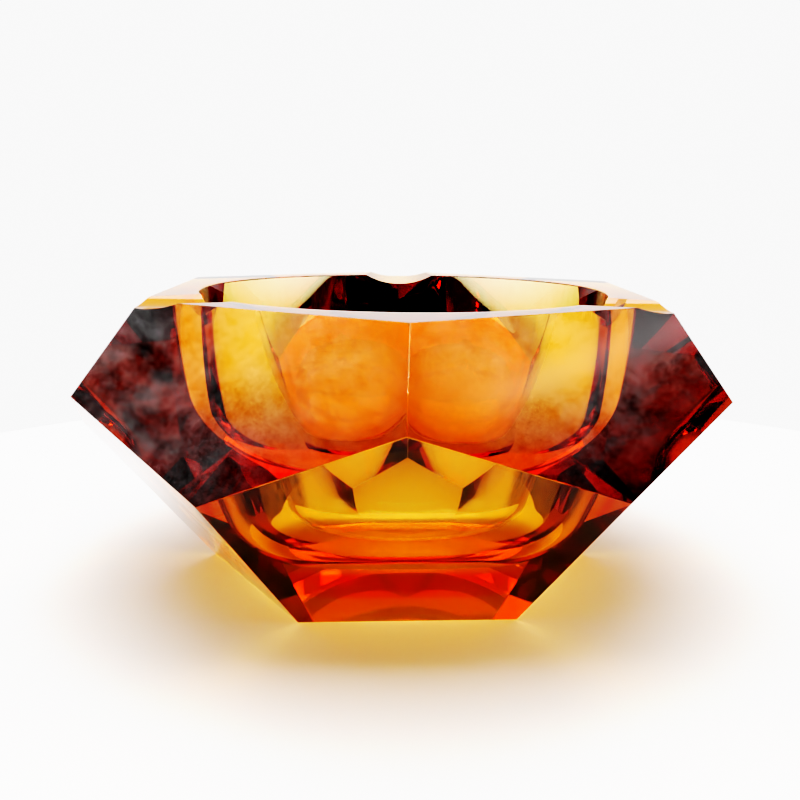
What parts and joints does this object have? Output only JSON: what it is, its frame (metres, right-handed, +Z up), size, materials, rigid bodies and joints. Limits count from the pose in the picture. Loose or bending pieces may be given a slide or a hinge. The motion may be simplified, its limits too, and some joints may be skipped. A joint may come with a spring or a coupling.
{
  "type": "art glass bowl",
  "caption": "Heavy faceted amber glass bowl with a round well, a flat polished rim with shallow rests cut in it, and a flat base to stand on.",
  "frame": {"origin": "middle of the flat base, on the surface the bowl stands on", "axes": "+Z up along the axis of the well; +Y towards the corner of the top hexagon that has a rest; -Y towards the plain corner at the front"},
  "size_m": [0.1576, 0.1582, 0.068],
  "materials": {
    "well_amber": "fire-polished amber glass lining the well",
    "heart_amber": "deep amber glass, bonded on both sides",
    "casing_amber": "honey amber glass, cut and polished facets"
  },
  "bodies": {
    "root": {"inner_gather": "well_amber", "heart_gather": "heart_amber", "cut_casing": "casing_amber"}
  },
  "joints": []
}
